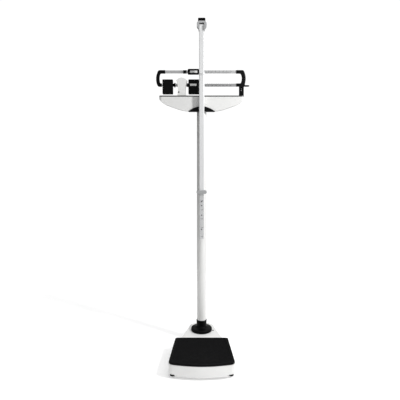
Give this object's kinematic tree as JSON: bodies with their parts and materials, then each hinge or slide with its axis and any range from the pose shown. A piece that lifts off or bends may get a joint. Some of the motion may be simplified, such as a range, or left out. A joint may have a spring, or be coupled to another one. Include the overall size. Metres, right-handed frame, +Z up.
{
  "type": "physician beam scale",
  "caption": "Upright medical beam scale: low ribbed platform on compound levers, round column, twin-bar balance beam with sliding poises, and a telescopic measuring rod in front.",
  "frame": {"origin": "middle of the whole object's footprint, on the floor", "axes": "+X to the right of a person who faces the beam, +Y from the platform to the column, +Z up"},
  "size_m": [0.5084, 0.523, 1.802],
  "materials": {
    "white_enamel": "smooth satin white powder coat",
    "black_enamel": "fine-textured semi-gloss black enamel",
    "black_plastic": "moulded semi-gloss black plastic",
    "foot_rubber": "matt black rubber",
    "mat_rubber": "matt black rubber with fine ribs",
    "cast_iron": "dark sand-cast iron",
    "steel": "ground bright steel",
    "beam_aluminium": "satin anodised bar with dark graduations",
    "rod_aluminium": "satin grey anodised tube",
    "grey_plastic": "moulded grey plastic",
    "window_lens": "clear-topped white reading window"
  },
  "bodies": {
    "base": {"base_casting": "white_enamel", "rear_cover": "white_enamel", "rear_cover_screw": "black_enamel", "foot_front_left": "foot_rubber", "foot_front_right": "foot_rubber", "foot_rear_left": "foot_rubber", "foot_rear_right": "foot_rubber", "column_socket": "cast_iron", "column_tube": "white_enamel", "foot_bell": "black_plastic", "foot_collar": "black_plastic", "head_socket": "cast_iron", "pan": "white_enamel", "pan_lid": "beam_aluminium", "cradle": "black_enamel", "transfer_pin": "steel", "transfer_stand": "cast_iron", "fulcrum_stand": "cast_iron", "fulcrum_bearing_front": "steel", "fulcrum_bearing_rear": "steel", "fulcrum_cover": "white_enamel", "fulcrum_cover_screw": "black_enamel", "guide_post": "black_enamel", "rail": "beam_aluminium", "standoff_lower": "white_enamel", "standoff_upper": "white_enamel"},
    "platform": {"platform_plate": "cast_iron", "platform_mat": "mat_rubber"},
    "long_lever": {"long_lever": "cast_iron", "long_lever_fulcrum_knife": "steel", "long_lever_load_knife": "steel"},
    "short_lever": {"short_lever": "cast_iron", "short_lever_fulcrum_knife": "steel", "short_lever_load_knife": "steel"},
    "nose_link": {"nose_link": "steel"},
    "draft_rod": {"draft_rod": "steel"},
    "transfer_lever": {"transfer_lever": "cast_iron"},
    "beam_link": {"beam_link": "steel"},
    "beam": {"lower_bar": "beam_aluminium", "upper_bar": "beam_aluminium", "fulcrum_knife": "steel", "load_knife": "steel", "beam_bracket_left": "black_enamel", "beam_bracket_right": "black_enamel", "pointer": "black_enamel", "stop_pin": "steel", "beam_spindle": "steel"},
    "counterweight": {"counterweight": "black_enamel"},
    "zero_knob": {"zero_knob": "black_plastic"},
    "small_poise": {"small_poise": "black_enamel", "small_poise_window": "window_lens"},
    "large_poise": {"large_poise": "black_enamel", "large_poise_window": "window_lens", "detent_tooth": "steel"},
    "measuring_rod": {"sliding_tube": "rod_aluminium", "reader": "grey_plastic", "rod_head": "grey_plastic", "rod_cap": "black_plastic", "tongue_pin": "steel"},
    "tongue": {"tongue": "rod_aluminium"}
  },
  "joints": [
    {"name": "beam_tilt", "type": "hinge", "parent": "base", "child": "beam", "pos_m": [-0.11579, 0.16153, 1.462], "axis": [0, -1, 0], "range_deg": [-1.2, 1.2]},
    {"name": "beam_link_slide", "type": "slide", "parent": "base", "child": "beam_link", "axis": [0, 0, -1], "range_m": [-0.0003, 0.0003]},
    {"name": "transfer_lever_turn", "type": "hinge", "parent": "base", "child": "transfer_lever", "pos_m": [-0.19179, 0.16153, 1.366], "axis": [0, 1, 0], "range_deg": [-0.25, 0.25]},
    {"name": "draft_rod_slide", "type": "slide", "parent": "base", "child": "draft_rod", "axis": [0, 0, -1], "range_m": [-0.0008, 0.0008]},
    {"name": "long_lever_turn", "type": "hinge", "parent": "base", "child": "long_lever", "pos_m": [-0.00579, -0.19847, 0.041], "axis": [-1, 0, 0], "range_deg": [-0.13, 0.13]},
    {"name": "nose_link_slide", "type": "slide", "parent": "base", "child": "nose_link", "axis": [0, 0, -1], "range_m": [-0.00025, 0.00025]},
    {"name": "short_lever_turn", "type": "hinge", "parent": "base", "child": "short_lever", "pos_m": [-0.00579, 0.01153, 0.024], "axis": [1, 0, 0], "range_deg": [-0.13, 0.13]},
    {"name": "platform_sink", "type": "slide", "parent": "base", "child": "platform", "axis": [0, 0, -1], "range_m": [-0.0001, 0.0001]},
    {"name": "zero_knob_turn", "type": "hinge", "parent": "counterweight", "child": "zero_knob", "pos_m": [-0.15479, 0.16153, 1.462], "axis": [1, 0, 0], "range_deg": [-730, 730]},
    {"name": "counterweight_trim", "type": "slide", "parent": "beam", "child": "counterweight", "axis": [1, 0, 0], "range_m": [-0.002, 0.002]},
    {"name": "small_poise_slide", "type": "slide", "parent": "beam", "child": "small_poise", "axis": [1, 0, 0], "range_m": [0, 0.2]},
    {"name": "large_poise_slide", "type": "slide", "parent": "beam", "child": "large_poise", "axis": [1, 0, 0], "range_m": [0, 0.2]},
    {"name": "measuring_rod_slide", "type": "slide", "parent": "base", "child": "measuring_rod", "axis": [0, 0, 1], "range_m": [-0.24, 0.29]},
    {"name": "tongue_fold", "type": "hinge", "parent": "measuring_rod", "child": "tongue", "pos_m": [-0.00579, 0.09703, 1.765], "axis": [-1, 0, 0], "range_deg": [0, 90]}
  ],
  "couplings": [
    {"joint": "beam_link_slide", "follows": "beam_tilt", "m_per_rad": 0.012},
    {"joint": "transfer_lever_turn", "follows": "beam_tilt", "ratio": 0.1875},
    {"joint": "draft_rod_slide", "follows": "beam_tilt", "m_per_rad": 0.034875},
    {"joint": "long_lever_turn", "follows": "beam_tilt", "ratio": 0.096875},
    {"joint": "nose_link_slide", "follows": "beam_tilt", "m_per_rad": 0.010172},
    {"joint": "short_lever_turn", "follows": "beam_tilt", "ratio": 0.096875},
    {"joint": "platform_sink", "follows": "beam_tilt", "m_per_rad": 0.0029062},
    {"joint": "zero_knob_turn", "follows": "counterweight_trim", "rad_per_m": 6283.2}
  ]
}
